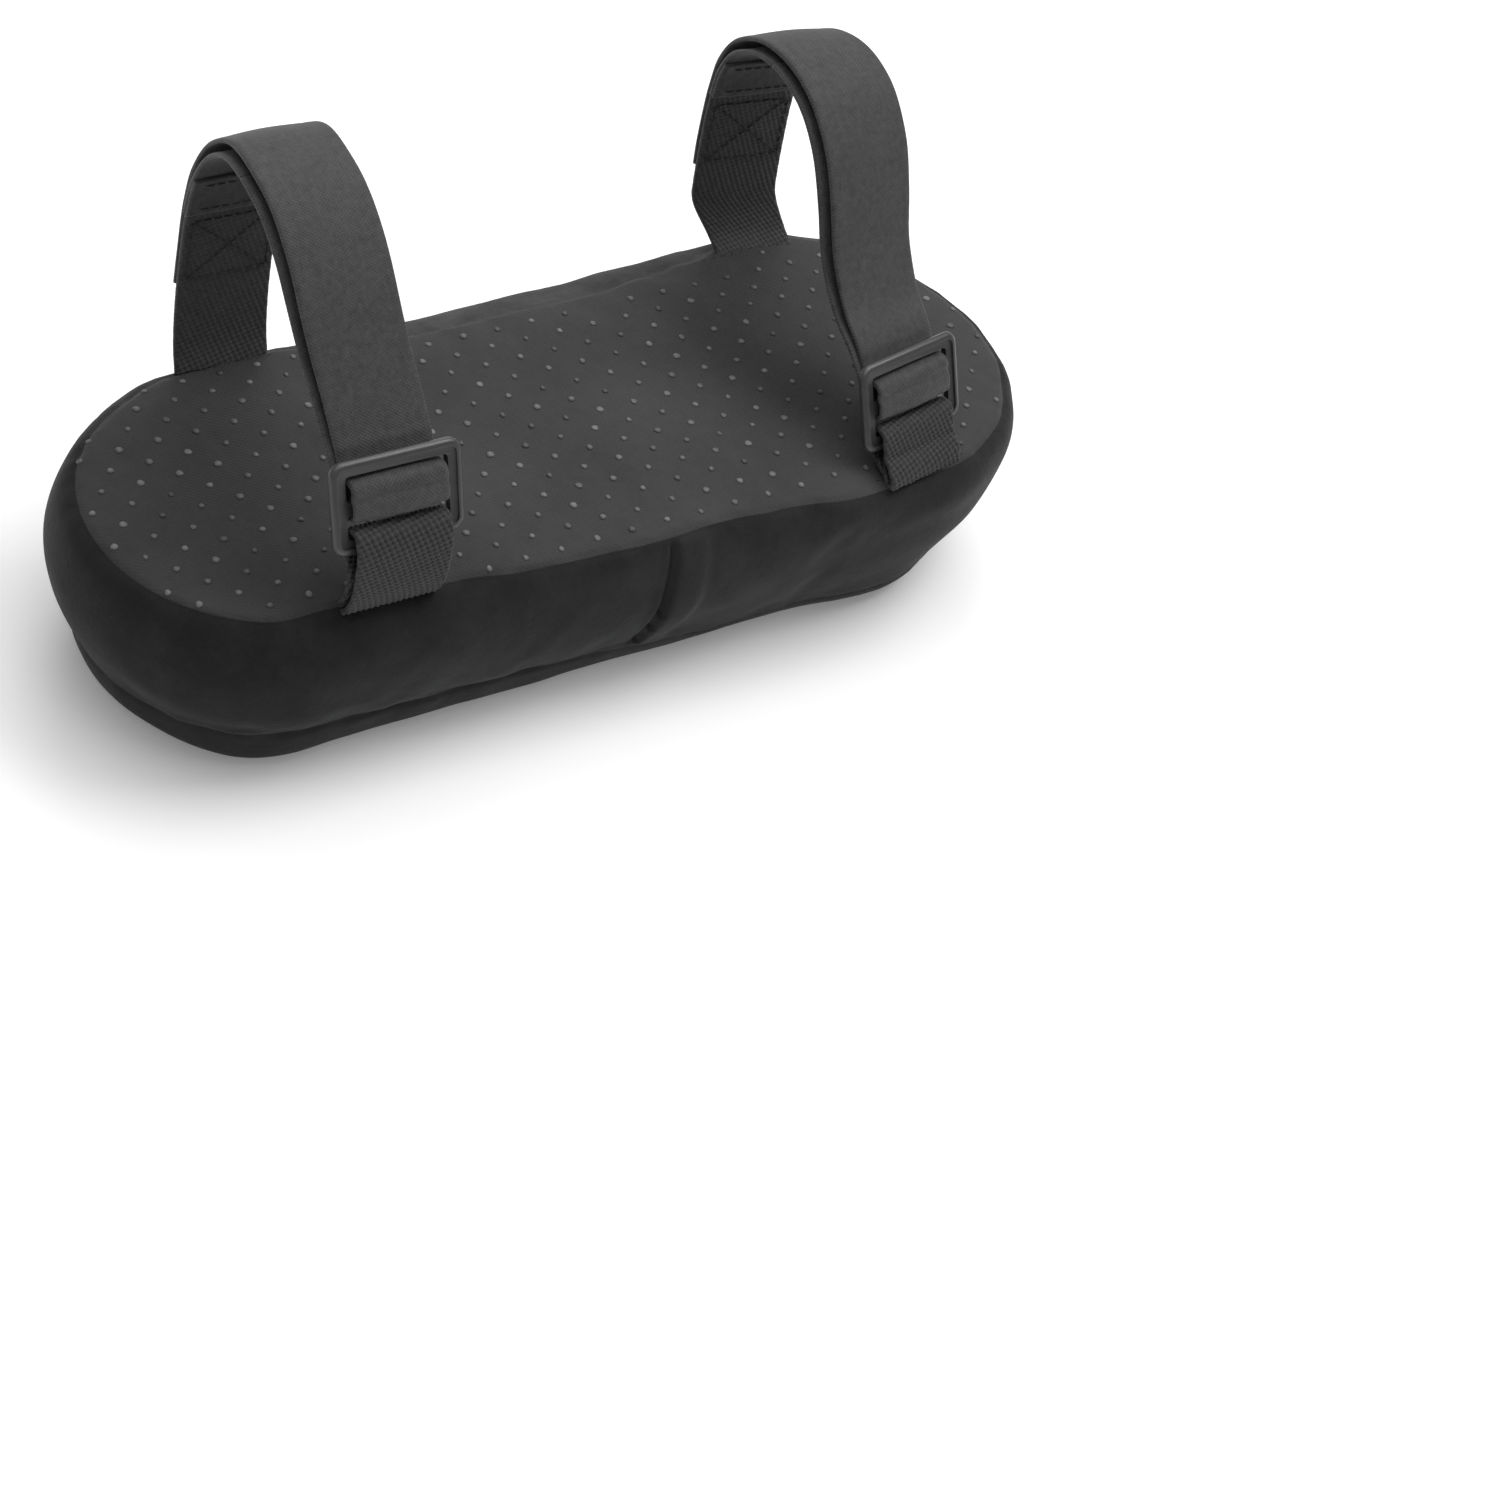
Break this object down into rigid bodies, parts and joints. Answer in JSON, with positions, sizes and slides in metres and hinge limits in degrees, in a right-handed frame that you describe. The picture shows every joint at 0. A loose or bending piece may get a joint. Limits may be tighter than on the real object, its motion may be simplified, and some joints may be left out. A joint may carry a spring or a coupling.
{
  "type": "chair armrest pad",
  "caption": "Stadium-shaped foam armrest pad in a sewn velour cover, with a dotted grip base and two webbing straps with three-bar slide buckles.",
  "frame": {"origin": "middle of the plush face, on the plane of that face, on which the pad lies", "axes": "+X along the pad's length, -Y to the side the buckles are on, +Z from the plush face to the grip base"},
  "size_m": [0.2644, 0.1065, 0.1276],
  "materials": {
    "velour": "charcoal plush velour",
    "grip_fabric": "knit with raised silicone dots",
    "foam": "open-cell cushion foam",
    "strap_webbing": "fine flat webbing",
    "coarse_webbing": "coarse herringbone webbing",
    "buckle_plastic": "satin moulded plastic",
    "zip_tape": "woven tape",
    "zip_coil": "nylon coil",
    "zip_metal": "dark painted die casting"
  },
  "bodies": {
    "pad": {"foam_core": "foam", "cover_top_panel": "velour", "cover_side_band": "velour", "base_panel": "grip_fabric", "zipper_tape_upper": "zip_tape", "zipper_tape_lower": "zip_tape", "zipper_coil_upper": "zip_coil", "zipper_coil_lower": "zip_coil", "zipper_stop_closed": "zip_metal", "zipper_stop_open": "zip_metal", "left_anchor_webbing": "coarse_webbing", "left_tab_webbing": "coarse_webbing", "right_anchor_webbing": "coarse_webbing", "right_tab_webbing": "coarse_webbing"},
    "zipper_slider": {"zipper_slider": "zip_metal"},
    "zipper_pull": {"zipper_pull": "zip_metal"},
    "left_loop": {"left_strap": "strap_webbing", "left_strap_tail": "strap_webbing"},
    "left_buckle": {"left_buckle": "buckle_plastic", "left_strap_fold": "strap_webbing"},
    "left_tip": {"left_strap_tip": "strap_webbing"},
    "right_loop": {"right_strap": "strap_webbing", "right_strap_tail": "strap_webbing"},
    "right_buckle": {"right_buckle": "buckle_plastic", "right_strap_fold": "strap_webbing"},
    "right_tip": {"right_strap_tip": "strap_webbing"}
  },
  "joints": [
    {"name": "zipper_slide", "type": "slide", "parent": "pad", "child": "zipper_slider", "axis": [1, 0, 0], "range_m": [-0.123, 0]},
    {"name": "zipper_pull_flip", "type": "hinge", "parent": "zipper_slider", "child": "zipper_pull", "pos_m": [0.061, 0.0486, 0.029], "axis": [0, 0, 1], "range_deg": [-175, 0]},
    {"name": "left_loop_lean", "type": "hinge", "parent": "pad", "child": "left_loop", "pos_m": [-0.071, 0, 0.05], "axis": [0, 1, 0], "range_deg": [-12, 12], "stiffness_Nm_per_rad": 0.05, "deforming": ["left_anchor_webbing", "left_tab_webbing"]},
    {"name": "left_buckle_pivot", "type": "hinge", "parent": "left_loop", "child": "left_buckle", "pos_m": [-0.071, -0.03814, 0.06803], "axis": [1, 0, 0], "range_deg": [-8, 8], "stiffness_Nm_per_rad": 0.02, "deforming": ["left_tab_webbing"]},
    {"name": "left_tail_pull", "type": "slide", "parent": "left_loop", "child": "left_tip", "axis": [0, -0.0499, -0.9988], "range_m": [0, 0.015]},
    {"name": "right_loop_lean", "type": "hinge", "parent": "pad", "child": "right_loop", "pos_m": [0.08, 0, 0.05], "axis": [0, 1, 0], "range_deg": [-12, 12], "stiffness_Nm_per_rad": 0.05, "deforming": ["right_anchor_webbing", "right_tab_webbing"]},
    {"name": "right_buckle_pivot", "type": "hinge", "parent": "right_loop", "child": "right_buckle", "pos_m": [0.08, -0.03567, 0.05674], "axis": [1, 0, 0], "range_deg": [-8, 8], "stiffness_Nm_per_rad": 0.02, "deforming": ["right_tab_webbing"]},
    {"name": "right_tail_pull", "type": "slide", "parent": "right_loop", "child": "right_tip", "axis": [0, -0.0995, -0.995], "range_m": [0, 0.015]}
  ]
}
